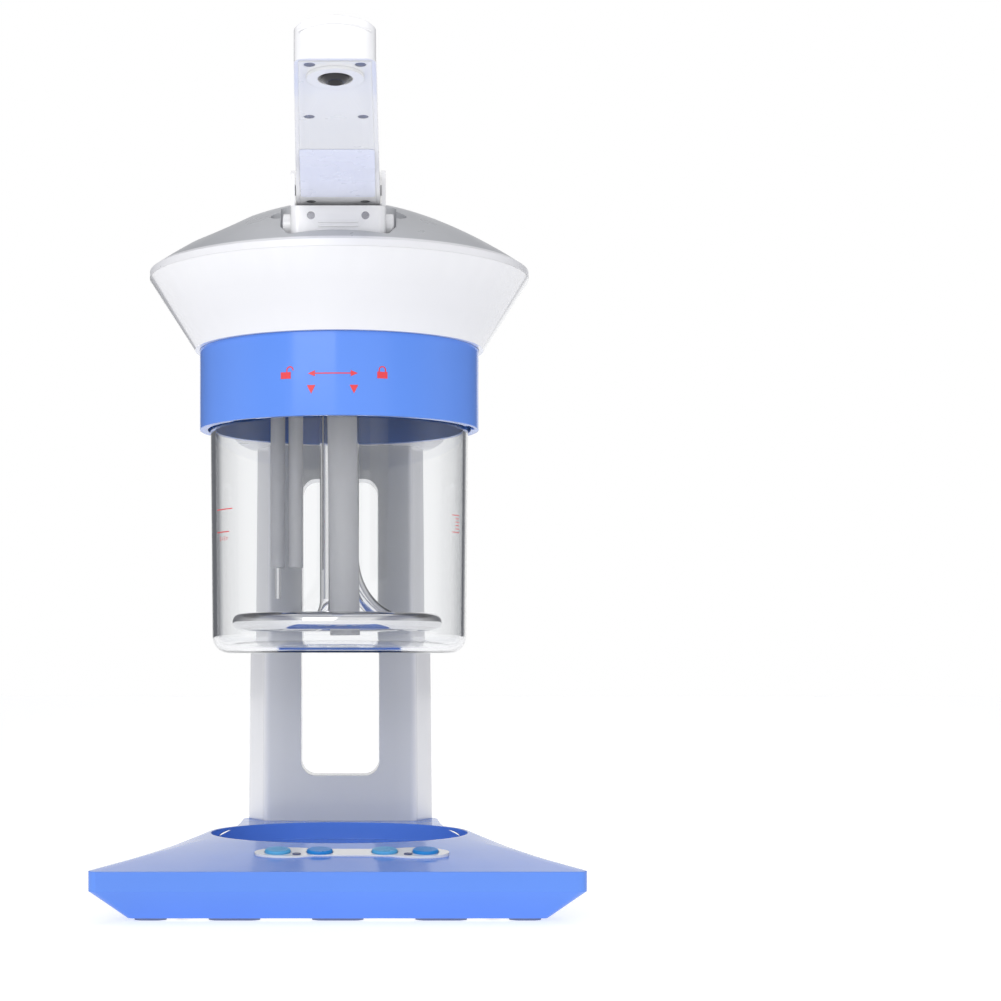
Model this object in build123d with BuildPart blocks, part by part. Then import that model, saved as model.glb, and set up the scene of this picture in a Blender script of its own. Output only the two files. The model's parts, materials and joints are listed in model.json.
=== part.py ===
"""Desktop facial steamer: blue base, rear column, glass beaker, domed head and tilting arm."""
import os
from math import acos, atan2, cos, degrees, hypot, radians, sin, sqrt

from build123d import *

# Driving dimensions, in millimetres. Y runs backwards from the beaker's axis in LOCAL planes.
AXIS_Y = 80.1          # the beaker's axis, behind the middle of the whole object
CLEAR = 0.3            # gap between pieces that move past each other

# base
BASE_FRONT = -125.7    # front edge, measured from the beaker's axis
BASE_HALF = 115.8      # half the width of the front edge, before its corners are rounded
BASE_BOTTOM = 1.5
BEVEL_INSET = 12.5
BEVEL_TOP = 15.0
BAND_TOP = 24.2
RIM_TOP = 32.0
RIM_RADIUS = 68.0
TONGUE_HALF = 54.0
TONGUE_BACK = 104.0
BASE_WALL = 2.6
DISH_RADIUS = 66.0
DISH_FLOOR = 23.0
PLATE_TOP = 4.0

# column
COLUMN_FRONT = 75.0
COLUMN_BACK = 100.0
COLUMN_TOP = 279.0
COLUMN_WALL = 2.5
SLOT_WIDTH = 43.0
SLOT_BOTTOM = 57.0
SLOT_TOP = 220.0
SLOT_CORNER = 8.0

# beaker and collar
BEAKER_BOTTOM = 124.0
BEAKER_TOP = 275.0
BEAKER_RADIUS = 66.5
GLASS_WALL = 2.5
COLLAR_BOTTOM = 238.3
COLLAR_RADIUS = 71.5
COLLAR_BORE = 67.5
LUG_BOTTOM = 262.0
LUG_TOP = 266.0
LUG_ARC = 12.0
LOCK_TURN = 17.0

# head
HEAD_BOTTOM = 279.0
FRAME_TOP = 282.5
SKIRT_RADIUS = 74.0
HEAD_RADIUS = 97.0
LIP_BOTTOM = 314.8
LIP_TOP = 319.8
DOME_TOP = 355.0
DOME_WALL = 3.0
HOUSING_FRONT = 25.0   # where the rear housing takes over from the skirt
HOUSING_BACK = 104.5

# arm and its yoke
WELL_FLOOR = 313.0
SEAT_Y = -68.0
HINGE_Y = -72.0
HINGE_Z = 346.0
ARM_TILT = 5.0
ARM_LENGTH = 192.7
ARM_HALF = 20.15
TIP_HALF = 16.0
BARREL = 8.7
SIDE_TOP = 4.5
ARCH_TOP = 8.8
ARM_WALL = 2.0
YOKE_HALF = 22.75
YOKE_FRONT = -85.0
YOKE_BACK = -45.0
YOKE_TOP = 336.0
BUTTON_Y = -72.0        # spring buttons that free the yoke
BUTTON_Z = 328.4
NOTCH_Y = -58.0         # the finger notches behind the release buttons
NOTCH_FLOOR = 331.0
RELEASE_RADIUS = 6.2

# control panel on the sloping front
PANEL_X = 6.5
PANEL_Y = -88.0
BUTTONS_X = (-28.5, -8.7, 22.0, 41.3)
LEDS_X = (-19.5, 33.0)
BUTTON_RADIUS = 6.15
LED_Y = -4.6
SLOPE = degrees(atan2(RIM_TOP - BAND_TOP, -RIM_RADIUS - BASE_FRONT))

# Planes through the beaker's axis
FLOOR = Plane(origin=(0, AXIS_Y, 0))
FRONT = Plane(origin=(0, AXIS_Y, 0), x_dir=(1, 0, 0), z_dir=(0, -1, 0))
SIDE = Plane(origin=(0, AXIS_Y, 0), x_dir=(0, 1, 0), z_dir=(1, 0, 0))
UPRIGHT = Axis((0, AXIS_Y, 0), (0, 0, 1))
ARM_UP = (0, sin(radians(ARM_TILT)), cos(radians(ARM_TILT)))
ARM = Plane(origin=(0, AXIS_Y + HINGE_Y, HINGE_Z), x_dir=(1, 0, 0), z_dir=ARM_UP)
PANEL_Z = BAND_TOP + (PANEL_Y - BASE_FRONT) * (RIM_TOP - BAND_TOP) / (-RIM_RADIUS - BASE_FRONT)
PANEL_UP = (0, -sin(radians(SLOPE)), cos(radians(SLOPE)))
PANEL = Plane(origin=(PANEL_X, AXIS_Y + PANEL_Y, PANEL_Z), x_dir=(1, 0, 0), z_dir=PANEL_UP)

# Directions from the beaker's axis that the base outline turns at
SIDE_ANGLE = degrees(atan2(BASE_FRONT, BASE_HALF)) + degrees(
    acos(RIM_RADIUS / hypot(BASE_FRONT, BASE_HALF))
)


def save(piece, name):
    """Label one finished piece and write it."""
    piece.part.label = name
    export_step(piece.part, f"parts/{name}.step")


def polar(radius, angle):
    """A point at a distance and direction from the beaker's axis."""
    return (radius * cos(radians(angle)), radius * sin(radians(angle)))


def tongue_line(start, inset):
    """The tongue's side, rounded rear corner and half of its back, from a start point."""
    half = TONGUE_HALF - inset
    back = TONGUE_BACK - inset
    corner = 14.0 - inset / 2
    side = Line(start, (half, back - corner))
    turn = RadiusArc(side @ 1, (half - corner, back), -corner)
    Line(turn @ 1, (0, back))


def base_outline(height, inset):
    """Plan of the base at one height: straight front, sides tangent to the dish, rear tongue."""
    rim = RIM_RADIUS - inset
    front = BASE_FRONT + inset
    corner_x = (rim - front * sin(radians(SIDE_ANGLE))) / cos(radians(SIDE_ANGLE))
    tongue_angle = degrees(acos((TONGUE_HALF - inset) / rim))
    ease = 6.0 - inset / 5
    side_start = Vector(*polar(rim, SIDE_ANGLE)) - Vector(corner_x, front)
    on_side = Vector(corner_x, front) + side_start.normalized() * ease
    with BuildSketch(FLOOR.offset(height)) as outline:
        with BuildLine():
            edge = Line((0, front), (corner_x - ease, front))
            turn = ThreePointArc(
                edge @ 1,
                (Vector(corner_x - ease, front) + on_side) * 0.35 + Vector(corner_x, front) * 0.3,
                (on_side.X, on_side.Y),
            )
            side = Line(turn @ 1, polar(rim, SIDE_ANGLE))
            round_dish = CenterArc((0, 0), rim, SIDE_ANGLE, tongue_angle - SIDE_ANGLE)
            tongue_line(round_dish @ 1, inset)
            mirror(about=Plane.YZ)
        make_face()
    return outline.sketch


def rim_outline(height, inset):
    """Plan of the flat top round the dish, split at the same places as the base outline."""
    rim = RIM_RADIUS - 0.5 - inset
    half = TONGUE_HALF - inset
    tongue_angle = degrees(acos(half / rim))
    with BuildSketch(FLOOR.offset(height)) as outline:
        with BuildLine():
            CenterArc((0, 0), rim, -90, 1)
            CenterArc((0, 0), rim, -89, SIDE_ANGLE + 88)
            CenterArc((0, 0), rim, SIDE_ANGLE - 1, 1)
            last = CenterArc((0, 0), rim, SIDE_ANGLE, tongue_angle - SIDE_ANGLE)
            tongue_line(last @ 1, inset)
            mirror(about=Plane.YZ)
        make_face()
    return outline.sketch


def column_outline(height, inset):
    """Plan of the column: a flat front and sides that flare to the back, narrowing upwards."""
    up = (height - RIM_TOP) / (COLUMN_TOP - RIM_TOP)
    front_half = 41.5 - 1.2 * up - inset
    back_half = 53.0 - 3.0 * up - inset
    front = COLUMN_FRONT + inset
    back = COLUMN_BACK - inset
    with BuildSketch(FLOOR.offset(height)) as outline:
        with BuildLine():
            FilletPolyline(
                (-front_half, front),
                (front_half, front),
                (back_half, back),
                (-back_half, back),
                radius=max(1.0, 3.0 - inset),
                close=True,
            )
        make_face()
    return outline.sketch


def column_block(inset):
    """The column's outer or inner volume."""
    with BuildPart() as block:
        loft(sections=[column_outline(RIM_TOP, inset), column_outline(COLUMN_TOP, inset)], ruled=True)
    return block.part


def slot_prism(margin, front, back):
    """A bar with the section of the column's window, between two distances from the axis."""
    middle = (SLOT_BOTTOM + SLOT_TOP) / 2
    with BuildPart() as prism:
        with BuildSketch(FRONT.offset(-back)):
            with Locations((0, middle)):
                RectangleRounded(
                    SLOT_WIDTH + 2 * margin,
                    SLOT_TOP - SLOT_BOTTOM + 2 * margin,
                    SLOT_CORNER + margin,
                )
        extrude(amount=back - front)
    return prism.part


def radial_plane(angle):
    """The upright plane that runs outwards from the beaker's axis in one direction."""
    across = (cos(radians(angle)), sin(radians(angle)), 0)
    through = (sin(radians(angle)), -cos(radians(angle)), 0)
    return Plane(origin=(0, AXIS_Y, 0), x_dir=across, z_dir=through)


def ring_sector(inner, outer, bottom, top, start, arc):
    """Part of a ring about the beaker's axis, starting at one direction."""
    with BuildPart() as sector:
        with BuildSketch(radial_plane(start)):
            with Locations(((inner + outer) / 2, (bottom + top) / 2)):
                Rectangle(outer - inner, top - bottom)
        revolve(axis=UPRIGHT, revolution_arc=arc)
    return sector.part


def rod_between(start, end, radius):
    """A straight rod between two points given from the beaker's axis."""
    first = Vector(start[0], start[1] + AXIS_Y, start[2])
    last = Vector(end[0], end[1] + AXIS_Y, end[2])
    with BuildPart() as rod:
        with BuildSketch(Plane(origin=first, z_dir=last - first)):
            Circle(radius)
        extrude(amount=(last - first).length)
    return rod.part


def upright_cylinders(places, radius, bottom, top):
    """Separate upright cylinders at plan places given from the beaker's axis."""
    with BuildPart() as group:
        with BuildSketch(FLOOR.offset(bottom)):
            with Locations(*places):
                Circle(radius)
        extrude(amount=top - bottom)
    return group.part


def slanted_tube(low, low_radius, high, high_radius):
    """A tapered solid between two level circles whose centres need not be above each other."""
    with BuildPart() as tube:
        with BuildSketch(FLOOR.offset(low[2])):
            with Locations((low[0], low[1])):
                Circle(low_radius)
        with BuildSketch(FLOOR.offset(high[2])):
            with Locations((high[0], high[1])):
                Circle(high_radius)
        loft(ruled=True)
    return tube.part


os.makedirs("parts", exist_ok=True)

# ---------------------------------------------------------------- base
SHELL_SCREWS = ((-72, -104), (72, -104), (-30, 78), (30, 78))
WIRE_X = 34.0
WIRE_Y = 90.0

with BuildPart() as base_hollow:
    loft(sections=[base_outline(BASE_BOTTOM, BEVEL_INSET + BASE_WALL), base_outline(BEVEL_TOP, BASE_WALL)],
         ruled=True)
    extrude(base_outline(BEVEL_TOP, BASE_WALL), amount=BAND_TOP - BASE_WALL - BEVEL_TOP)
    loft(sections=[base_outline(BAND_TOP - BASE_WALL, BASE_WALL), rim_outline(RIM_TOP - BASE_WALL, 0.5)],
         ruled=True)
    with BuildSketch(FLOOR.offset(DISH_FLOOR - BASE_WALL)):
        Circle(DISH_RADIUS + BASE_WALL)
    extrude(amount=RIM_TOP, mode=Mode.SUBTRACT)

with BuildPart() as base_shell:
    loft(sections=[base_outline(BASE_BOTTOM, BEVEL_INSET), base_outline(BEVEL_TOP, 0)], ruled=True)
    extrude(base_outline(BEVEL_TOP, 0), amount=BAND_TOP - BEVEL_TOP)
    loft(sections=[base_outline(BAND_TOP, 0), rim_outline(RIM_TOP, 0)], ruled=True)
    add(base_hollow.part, mode=Mode.SUBTRACT)
    with BuildSketch(FLOOR.offset(DISH_FLOOR)):
        Circle(DISH_RADIUS)
    extrude(amount=RIM_TOP, mode=Mode.SUBTRACT)
    add(upright_cylinders(SHELL_SCREWS[:2], 4, PLATE_TOP, BAND_TOP + 1))
    add(upright_cylinders(SHELL_SCREWS[2:], 4, PLATE_TOP, RIM_TOP - 1))
    with BuildSketch(FLOOR.offset(PLATE_TOP - 1)):
        with Locations(*SHELL_SCREWS):
            Circle(1.5)
    extrude(amount=12, mode=Mode.SUBTRACT)
    with BuildSketch(FLOOR.offset(DISH_FLOOR)):
        with Locations((WIRE_X, WIRE_Y)):
            Circle(5)
    extrude(amount=12, mode=Mode.SUBTRACT)
    with BuildSketch(PANEL.offset(-1.0)):
        Rectangle(60, 13)
        with Locations((-30, 0), (30, 0)):
            Ellipse(16, 9.5)
    extrude(amount=3, mode=Mode.SUBTRACT)
    with BuildSketch(PANEL.offset(-8)):
        with Locations(*[(x - PANEL_X, 0) for x in BUTTONS_X]):
            Circle(BUTTON_RADIUS + 1.6)
    extrude(amount=5.1, mode=Mode.SUBTRACT)
    with BuildSketch(PANEL.offset(-6)):
        with Locations(*[(x - PANEL_X, 0) for x in BUTTONS_X]):
            Circle(BUTTON_RADIUS + CLEAR)
        with Locations(*[(x - PANEL_X, LED_Y) for x in LEDS_X]):
            Circle(2.1)
    extrude(amount=8, mode=Mode.SUBTRACT)
save(base_shell, "base_shell")

with BuildPart() as base_plate:
    extrude(base_outline(BASE_BOTTOM, BEVEL_INSET + BASE_WALL), amount=PLATE_TOP - BASE_BOTTOM)
    with BuildSketch(FLOOR.offset(BASE_BOTTOM)):
        with Locations(*SHELL_SCREWS):
            Circle(1.8)
    extrude(amount=5, mode=Mode.SUBTRACT)
    with BuildSketch(FLOOR.offset(BASE_BOTTOM)):
        with Locations(*SHELL_SCREWS):
            Circle(3.4)
    extrude(amount=1.3, mode=Mode.SUBTRACT)
    with BuildSketch(FLOOR.offset(BASE_BOTTOM)):
        with Locations((0, 0)):
            with GridLocations(9, 0, 7, 1):
                SlotOverall(40, 3.5, rotation=90)
    extrude(amount=5, mode=Mode.SUBTRACT)
save(base_plate, "base_plate")

with BuildPart() as foot_pads:
    with BuildSketch(FLOOR):
        with Locations((-48, -104.5), (0, -104.5), (48, -104.5)):
            SlotOverall(24, 9)
        with Locations((-87, -104.5), (87, -104.5)):
            SlotOverall(15, 9)
        with Locations((-19, 83), (19, 83)):
            SlotOverall(14, 7)
    extrude(amount=BASE_BOTTOM)
save(foot_pads, "foot_pads")

with BuildPart() as base_screws:
    add(upright_cylinders(SHELL_SCREWS, 3.2, BASE_BOTTOM, BASE_BOTTOM + 1.25))
    add(upright_cylinders(SHELL_SCREWS, 1.45, BASE_BOTTOM + 1.25, PLATE_TOP + 8))
save(base_screws, "base_screws")

# ---------------------------------------------------------------- control panel
with BuildPart() as control_panel:
    with BuildSketch(PANEL.offset(-1.0)):
        Rectangle(60, 13)
        with Locations((-30, 0), (30, 0)):
            Ellipse(16, 9.5)
    extrude(amount=1.6)
    with BuildSketch(PANEL.offset(-2)):
        with Locations(*[(x - PANEL_X, 0) for x in BUTTONS_X]):
            Circle(BUTTON_RADIUS + CLEAR)
        with Locations(*[(x - PANEL_X, LED_Y) for x in LEDS_X]):
            Circle(2.1)
    extrude(amount=4, mode=Mode.SUBTRACT)
save(control_panel, "control_panel")

with BuildPart() as panel_leds:
    with BuildSketch(PANEL.offset(-10.4)):
        with Locations(*[(x - PANEL_X, LED_Y) for x in LEDS_X]):
            Circle(2.0)
    extrude(amount=11.3)
save(panel_leds, "panel_leds")

with BuildPart() as control_board:
    with BuildSketch(PANEL.offset(-12)):
        Rectangle(96, 22)
    extrude(amount=1.6)
save(control_board, "control_board")

with BuildPart() as tact_switches:
    with BuildSketch(PANEL.offset(-10.4)):
        with Locations(*[(x - PANEL_X, 0) for x in BUTTONS_X]):
            Rectangle(6, 6)
    extrude(amount=3)
save(tact_switches, "tact_switches")

for number, button_x in enumerate(BUTTONS_X, start=1):
    with BuildPart() as panel_button:
        with BuildSketch(PANEL.offset(-4.4)):
            with Locations((button_x - PANEL_X, 0)):
                Circle(BUTTON_RADIUS + 1.0)
        extrude(amount=1.2)
        with BuildSketch(PANEL.offset(-3.2)):
            with Locations((button_x - PANEL_X, 0)):
                Circle(BUTTON_RADIUS)
        extrude(amount=5.2)
        fillet(panel_button.edges().sort_by(Axis((0, 0, 0), PANEL_UP))[-1], 0.8)
        with BuildSketch(PANEL.offset(-6.2)):
            with Locations((button_x - PANEL_X, 0)):
                Circle(1.8)
        extrude(amount=1.8)
    save(panel_button, f"panel_button_{number}")

# ---------------------------------------------------------------- column
with BuildPart() as column_front:
    add(column_block(0))
    with BuildSketch(FLOOR):
        with Locations((0, COLUMN_FRONT)):
            Rectangle(140, 2 * COLUMN_WALL)
    extrude(amount=300, mode=Mode.INTERSECT)
    add(slot_prism(COLUMN_WALL, COLUMN_FRONT + 1, COLUMN_BACK))
    add(slot_prism(0, COLUMN_FRONT - 5, COLUMN_BACK + 5), mode=Mode.SUBTRACT)
save(column_front, "column_front")

INLET_Z = 43.5
with BuildPart() as column_back:
    add(column_block(0))
    add(column_block(COLUMN_WALL), mode=Mode.SUBTRACT)
    with BuildSketch(FLOOR):
        with Locations((0, COLUMN_FRONT)):
            Rectangle(140, 2 * COLUMN_WALL)
    extrude(amount=300, mode=Mode.SUBTRACT)
    add(slot_prism(COLUMN_WALL, COLUMN_FRONT - 5, COLUMN_BACK + 5), mode=Mode.SUBTRACT)
    with BuildSketch(FRONT.offset(-COLUMN_BACK - 1)):
        with Locations((0, INLET_Z)):
            Rectangle(27, 19)
    extrude(amount=6, mode=Mode.SUBTRACT)
    with BuildSketch(FLOOR.offset(COLUMN_TOP - 10)):
        with Locations((-30, 93), (24, 93)):
            Rectangle(9, 10)
    extrude(amount=10)
    with BuildSketch(FLOOR.offset(COLUMN_TOP - 11)):
        with Locations((-30, 91), (24, 91)):
            Circle(1.5)
    extrude(amount=12, mode=Mode.SUBTRACT)
save(column_back, "column_back")

with BuildPart() as power_inlet:
    with BuildSketch(FRONT.offset(-COLUMN_BACK)):
        with Locations((0, INLET_Z)):
            RectangleRounded(27, 19, 1.5)
    extrude(amount=20)
    with BuildSketch(FRONT.offset(-COLUMN_BACK - 1.4)):
        with Locations((0, INLET_Z)):
            RectangleRounded(31, 21.5, 2.5)
    extrude(amount=1.4)
    with BuildSketch(FRONT.offset(-COLUMN_BACK - 1.4)):
        with Locations((0, INLET_Z)):
            RectangleRounded(24, 16, 3)
    extrude(amount=17, mode=Mode.SUBTRACT)
save(power_inlet, "power_inlet")

with BuildPart() as inlet_pins:
    with BuildSketch(FRONT.offset(-COLUMN_BACK + 15.6)):
        with Locations((-7, INLET_Z - 2), (0, INLET_Z + 2), (7, INLET_Z - 2)):
            Rectangle(2, 4)
    extrude(amount=-12)
save(inlet_pins, "inlet_pins")

with BuildPart() as wire_loom:
    add(rod_between((WIRE_X, WIRE_Y, 14), (WIRE_X, WIRE_Y, 281), 2.8))
save(wire_loom, "wire_loom")

# ---------------------------------------------------------------- collar, beaker and seal
LUG_STARTS = (84.0, 204.0, 324.0)

TRACK = 69.6                          # how far out the lugs' track reaches inside the collar
TRACK_ARC = LUG_ARC + LOCK_TURN + 2   # the level track that the lugs turn in
GATE_ARC = LUG_ARC + 2                # the open gate that the lugs rise through

with BuildPart() as collar:
    with BuildSketch(FLOOR.offset(COLLAR_BOTTOM)):
        Circle(COLLAR_RADIUS)
        Circle(COLLAR_BORE, mode=Mode.SUBTRACT)
    extrude(amount=HEAD_BOTTOM - COLLAR_BOTTOM)
    for start in LUG_STARTS:
        add(
            ring_sector(COLLAR_BORE - 1, TRACK, LUG_BOTTOM - 0.4, LUG_TOP + 0.4, start - 1, TRACK_ARC),
            mode=Mode.SUBTRACT,
        )
        add(
            ring_sector(COLLAR_BORE - 1, TRACK, COLLAR_BOTTOM - 1, LUG_TOP, start + LOCK_TURN - 1, GATE_ARC),
            mode=Mode.SUBTRACT,
        )
save(collar, "collar")

with BuildPart() as beaker:
    with BuildSketch(SIDE):
        with BuildLine():
            base = Line((0, BEAKER_BOTTOM), (52, BEAKER_BOTTOM))
            heel = RadiusArc(base @ 1, (65, BEAKER_BOTTOM + 13), -13)
            wall = Line(heel @ 1, (BEAKER_RADIUS, BEAKER_TOP))
            rim = Line(wall @ 1, (BEAKER_RADIUS - GLASS_WALL, BEAKER_TOP))
            inner = Line(rim @ 1, (65 - GLASS_WALL, BEAKER_BOTTOM + 13))
            inner_heel = RadiusArc(inner @ 1, (52, BEAKER_BOTTOM + GLASS_WALL), 10.5)
            floor_line = Line(inner_heel @ 1, (0, BEAKER_BOTTOM + GLASS_WALL))
            Line(floor_line @ 1, base @ 0)
        make_face()
    revolve(axis=UPRIGHT)
    for start in LUG_STARTS:
        add(ring_sector(BEAKER_RADIUS - 0.6, 69.1, LUG_BOTTOM, LUG_TOP, start, LUG_ARC))
save(beaker, "beaker")

with BuildPart() as beaker_seal:
    add(ring_sector(60.5, 66.8, BEAKER_TOP + CLEAR, HEAD_BOTTOM, 0, 360))
save(beaker_seal, "beaker_seal")

# ---------------------------------------------------------------- head frame, heater and probes
HEATER_Z = 140.0
HEATER_RADIUS = 49.5
HEATER_TUBE = 4.4
STEAM_Y = -50.0
FILL_X = -58.0
FILL_Y = -26.0
FILL_LOW_X = -44.0
FILL_FLOOR = 318.0
FRAME_SCREWS = ((-30, 91), (24, 91))

with BuildPart() as head_frame:
    with BuildSketch(FLOOR.offset(HEAD_BOTTOM)):
        Circle(COLLAR_RADIUS)
        with Locations((0, 83)):
            Rectangle(80, 30)
    extrude(amount=FRAME_TOP - HEAD_BOTTOM)
    with BuildSketch(FLOOR.offset(HEAD_BOTTOM - 1)):
        with Locations((0, STEAM_Y)):
            Circle(4)
        with Locations((FILL_LOW_X, FILL_Y)):
            Circle(5)
        with Locations((-5.7, 6), (5.7, 6)):
            Circle(HEATER_TUBE + 0.05)
        with Locations((1, -16)):
            Circle(7.7)
        with Locations((-31.6, 0), (-22.4, 0)):
            Circle(3.8)
        with Locations((WIRE_X, WIRE_Y)):
            Circle(4)
        with Locations(*FRAME_SCREWS):
            Circle(1.8)
    extrude(amount=8, mode=Mode.SUBTRACT)
save(head_frame, "head_frame")

with BuildPart() as frame_screws:
    add(upright_cylinders(FRAME_SCREWS, 3.2, FRAME_TOP, FRAME_TOP + 2.2))
    add(upright_cylinders(FRAME_SCREWS, 1.45, COLUMN_TOP - 9, FRAME_TOP))
save(frame_screws, "frame_screws")

with BuildPart() as heater_coil:
    with BuildSketch(Plane.XZ.offset(-AXIS_Y)):
        with Locations((HEATER_RADIUS - 1, HEATER_Z)):
            Circle(HEATER_TUBE)
    revolve(axis=Axis((-1, AXIS_Y, 0), (0, 0, 1)), revolution_arc=360)
    for leg_x, reach_x, bend in ((-5.7, -30, 12), (5.7, 42, 34)):
        reach_y = sqrt(HEATER_RADIUS**2 - (reach_x + 1) ** 2)
        with BuildLine() as leg_path:
            FilletPolyline(
                (leg_x, AXIS_Y + 6, HEAD_BOTTOM + 12),
                (leg_x, AXIS_Y + 6, HEATER_Z),
                (reach_x, AXIS_Y + reach_y, HEATER_Z),
                radius=bend,
            )
        with BuildSketch(Plane(origin=(leg_x, AXIS_Y + 6, HEAD_BOTTOM + 12), z_dir=(0, 0, -1))):
            Circle(HEATER_TUBE)
        sweep(path=leg_path.line)
save(heater_coil, "heater_coil")

with BuildPart() as heater_terminals:
    add(rod_between((-5.7, 6, HEAD_BOTTOM + 12), (-5.7, 6, HEAD_BOTTOM + 20), 1.6))
    add(rod_between((5.7, 6, HEAD_BOTTOM + 12), (5.7, 6, HEAD_BOTTOM + 20), 1.6))
save(heater_terminals, "heater_terminals")

with BuildPart() as thermal_cutout:
    with BuildSketch(FLOOR.offset(FRAME_TOP)):
        with Locations((26, 26)):
            Circle(8)
    extrude(amount=6)
    with BuildSketch(FLOOR.offset(FRAME_TOP + 6)):
        with Locations((26, 26)):
            Rectangle(20, 6.3)
    extrude(amount=0.8)
save(thermal_cutout, "thermal_cutout")

with BuildPart() as water_tube:
    add(rod_between((1, -16, FRAME_TOP), (3, -16, 133), 7.5))
    add(rod_between((1, -16, FRAME_TOP + 5), (3, -16, 120), 6.0), mode=Mode.SUBTRACT)
save(water_tube, "water_tube")

with BuildPart() as probe_sleeves:
    add(upright_cylinders(((-31.6, 0), (-22.4, 0)), 3.75, 168, FRAME_TOP))
    add(upright_cylinders(((-31.6, 0), (-22.4, 0)), 2.6, 160, FRAME_TOP + 5), mode=Mode.SUBTRACT)
save(probe_sleeves, "probe_sleeves")

with BuildPart() as level_probes:
    add(rod_between((-31.6, 0, FRAME_TOP), (-31.6, 0, 152), 1.5))
    add(rod_between((-22.4, 0, FRAME_TOP), (-22.4, 0, 172), 1.5))
save(level_probes, "level_probes")

with BuildPart() as steam_duct:
    add(slanted_tube((0, STEAM_Y, FRAME_TOP), 6.5, (0, SEAT_Y, WELL_FLOOR - DOME_WALL), 7.5))
    add(
        slanted_tube((0, STEAM_Y, FRAME_TOP), 4.0, (0, SEAT_Y, WELL_FLOOR - DOME_WALL), 5.0),
        mode=Mode.SUBTRACT,
    )
save(steam_duct, "steam_duct")

with BuildPart() as fill_funnel:
    add(slanted_tube((FILL_LOW_X, FILL_Y, FRAME_TOP), 7.0, (FILL_X, FILL_Y, FILL_FLOOR - DOME_WALL), 12.0))
    add(
        slanted_tube((FILL_LOW_X, FILL_Y, FRAME_TOP), 5.0, (FILL_X, FILL_Y, FILL_FLOOR - DOME_WALL), 9.5),
        mode=Mode.SUBTRACT,
    )
save(fill_funnel, "fill_funnel")

# ---------------------------------------------------------------- head skirt and top shell
with BuildPart() as head_skirt:
    with BuildSketch(SIDE):
        with BuildLine():
            Polyline(
                (COLLAR_RADIUS + 0.1, HEAD_BOTTOM),
                (SKIRT_RADIUS, HEAD_BOTTOM),
                (HEAD_RADIUS, LIP_BOTTOM),
                (HEAD_RADIUS - 3, LIP_BOTTOM),
                (SKIRT_RADIUS - 0.5, HEAD_BOTTOM + 3),
                (COLLAR_RADIUS + 0.1, HEAD_BOTTOM + 3),
                close=True,
            )
        make_face()
    revolve(axis=UPRIGHT)
    with BuildSketch(FLOOR.offset(HEAD_BOTTOM - 1)):
        with Locations((0, 100 + HOUSING_FRONT)):
            Rectangle(220, 200)
    extrude(amount=60, mode=Mode.SUBTRACT)
save(head_skirt, "head_skirt")


def housing_outline(height, half, shoulder, inset, front):
    """Plan of the rear housing: straight sides, one large rounded corner each side, flat back."""
    side = half - inset
    back = HOUSING_BACK - inset
    turn_start = HOUSING_FRONT + 6
    with BuildSketch(FLOOR.offset(height)) as outline:
        with BuildLine():
            lead = Line((0, front), (side, front))
            flank = Line(lead @ 1, (side, turn_start))
            corner = ThreePointArc(
                flank @ 1,
                (side - (side - shoulder) * 0.25, turn_start + (back - turn_start) * 0.7),
                (shoulder, back),
            )
            Line(corner @ 1, (0, back))
            mirror(about=Plane.YZ)
        make_face()
    return outline.sketch


def crown_height(radius):
    """Height of the head's domed surface at a distance from the axis."""
    return DOME_TOP - 35.5 * (radius / 95.0) ** 1.8


def crown_block(inset):
    """Everything below the dome's surface, carried on outwards past the lip."""
    with BuildPart() as block:
        with BuildSketch(radial_plane(-63)):
            with BuildLine():
                flat = Line((0, DOME_TOP - inset), (3, DOME_TOP - inset))
                places = [(r, crown_height(r) - inset) for r in (20, 40, 60, 80, 100, 120, 140)]
                top = Spline(flat @ 1, *places, tangents=((1, 0), (1, -0.92)))
                drop = Line(top @ 1, (140, 200))
                low = Line(drop @ 1, (0, 200))
                Line(low @ 1, flat @ 0)
            make_face()
        revolve(axis=UPRIGHT)
    return block.part


def head_block(inset, bottom, front):
    """The head above its lip and the rear housing that sweeps down from it on to the column."""
    skirt_half = sqrt(SKIRT_RADIUS**2 - HOUSING_FRONT**2)
    lip_half = sqrt(HEAD_RADIUS**2 - HOUSING_FRONT**2)
    low = housing_outline(bottom, 58.0, 52.0, inset, front)
    middle = housing_outline(HEAD_BOTTOM, skirt_half, 50.0, inset, front)
    high = housing_outline(LIP_BOTTOM, lip_half, 32.0, inset, front)
    with BuildPart() as rear:
        extrude(high, amount=40)
        add(crown_block(inset), mode=Mode.INTERSECT)
    with BuildPart() as cap:
        with BuildSketch(FLOOR.offset(LIP_BOTTOM)):
            Circle(HEAD_RADIUS - inset)
        extrude(amount=60)
        add(crown_block(inset), mode=Mode.INTERSECT)
    with BuildPart() as block:
        add(rear.part)
        add(cap.part)
        loft(sections=[middle, high], ruled=True)
        loft(sections=[low, middle], ruled=True)
    return block.part


def well_prism(margin, bottom):
    """The arm well's volume: narrower at the front, and flared to clear the release buttons."""
    with BuildPart() as prism:
        with BuildSketch(FLOOR.offset(bottom)):
            with BuildLine():
                FilletPolyline(
                    (-24 - margin, -88.5 - margin),
                    (24 + margin, -88.5 - margin),
                    (27.6 + margin, BUTTON_Y - 6),
                    (28.5 + margin, -40 + margin),
                    (-28.5 - margin, -40 + margin),
                    (-27.6 - margin, BUTTON_Y - 6),
                    radius=4 + margin,
                    close=True,
                )
            make_face()
        extrude(amount=DOME_TOP + 10 - bottom)
    return prism.part


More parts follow.
